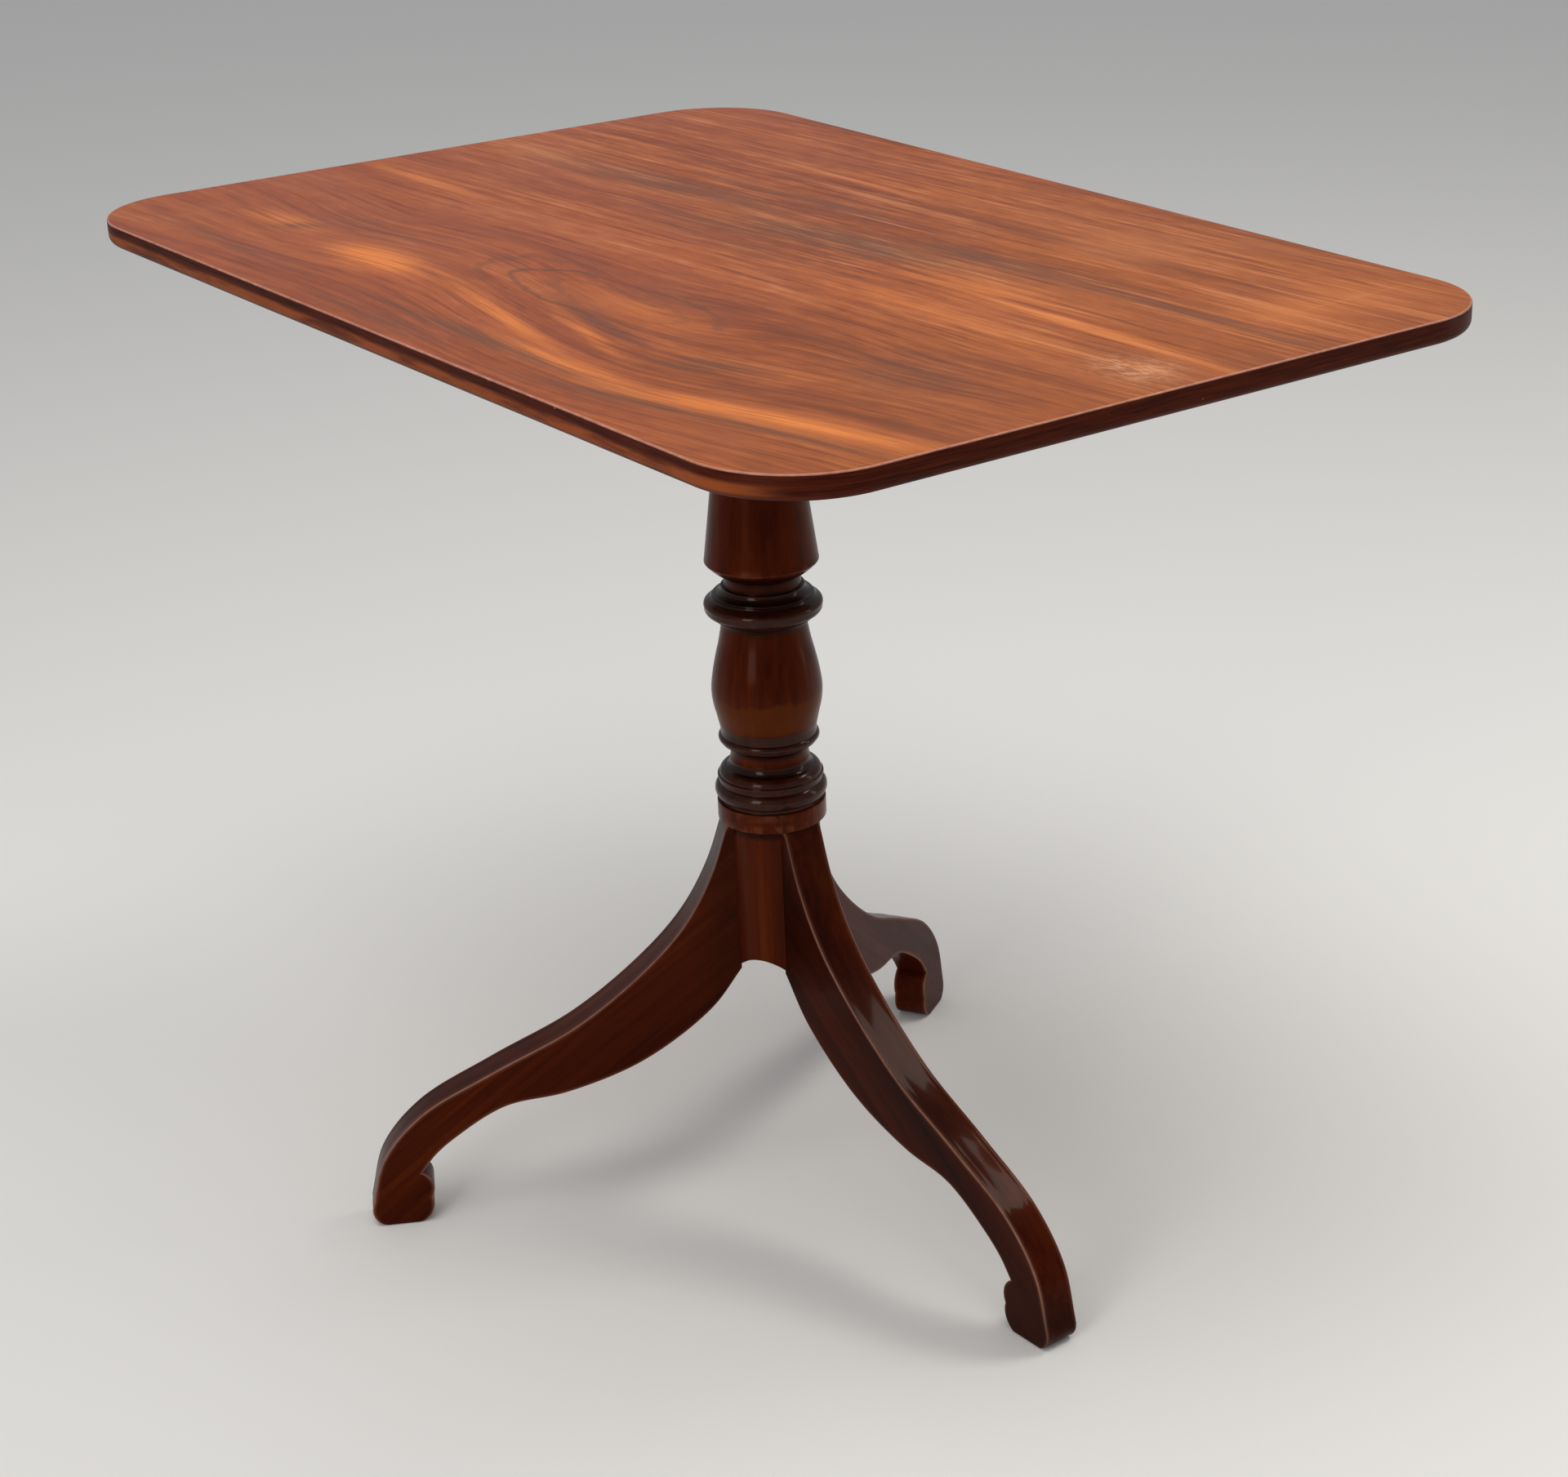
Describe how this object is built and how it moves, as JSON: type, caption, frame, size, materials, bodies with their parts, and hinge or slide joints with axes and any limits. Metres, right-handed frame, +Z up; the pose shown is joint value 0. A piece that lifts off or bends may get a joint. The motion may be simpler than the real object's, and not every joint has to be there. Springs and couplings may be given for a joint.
{
  "type": "tilt-top tripod side table",
  "caption": "Tripod side table: a rectangular round-cornered top that tilts upright on a turned pillar with curved, scroll-footed legs.",
  "frame": {"origin": "on the floor, under the middle of the top and on the pillar's axis", "axes": "+X along the long side of the top, +Y along its short side towards the pivots, +Z up"},
  "size_m": [0.846, 0.573, 0.71],
  "materials": {
    "top_mahogany": "gloss",
    "pillar_mahogany": "gloss",
    "leg_mahogany": "gloss",
    "bearer_mahogany": "satin",
    "pin_oak": "matte",
    "iron_screws": "matte",
    "aged_brass": "satin",
    "spring_steel": "satin"
  },
  "bodies": {
    "stand": {"pillar": "pillar_mahogany", "leg_right": "leg_mahogany", "leg_back": "leg_mahogany", "leg_left": "leg_mahogany", "pillar_block": "bearer_mahogany", "tenon_wedges": "pin_oak", "pivot_pin_left": "pin_oak", "pivot_pin_right": "pin_oak", "keeper_plate": "aged_brass", "keeper_screws": "aged_brass"},
    "top": {"top_board": "top_mahogany", "bearer_left": "bearer_mahogany", "bearer_right": "bearer_mahogany", "bearer_screws": "iron_screws", "catch_plate": "aged_brass", "catch_case": "aged_brass", "catch_spring": "spring_steel", "catch_screws": "aged_brass"},
    "bolt": {"catch_bolt": "aged_brass", "catch_knob": "aged_brass"}
  },
  "joints": [
    {"name": "top_tilt", "type": "hinge", "parent": "stand", "child": "top", "pos_m": [0, 0.062, 0.6797], "axis": [-1, 0, 0], "range_deg": [0, 90]},
    {"name": "catch_bolt_slide", "type": "slide", "parent": "top", "child": "bolt", "axis": [0, 1, 0], "range_m": [0, 0.008], "stiffness_N_per_m": 150, "springref_m": 0.009}
  ]
}
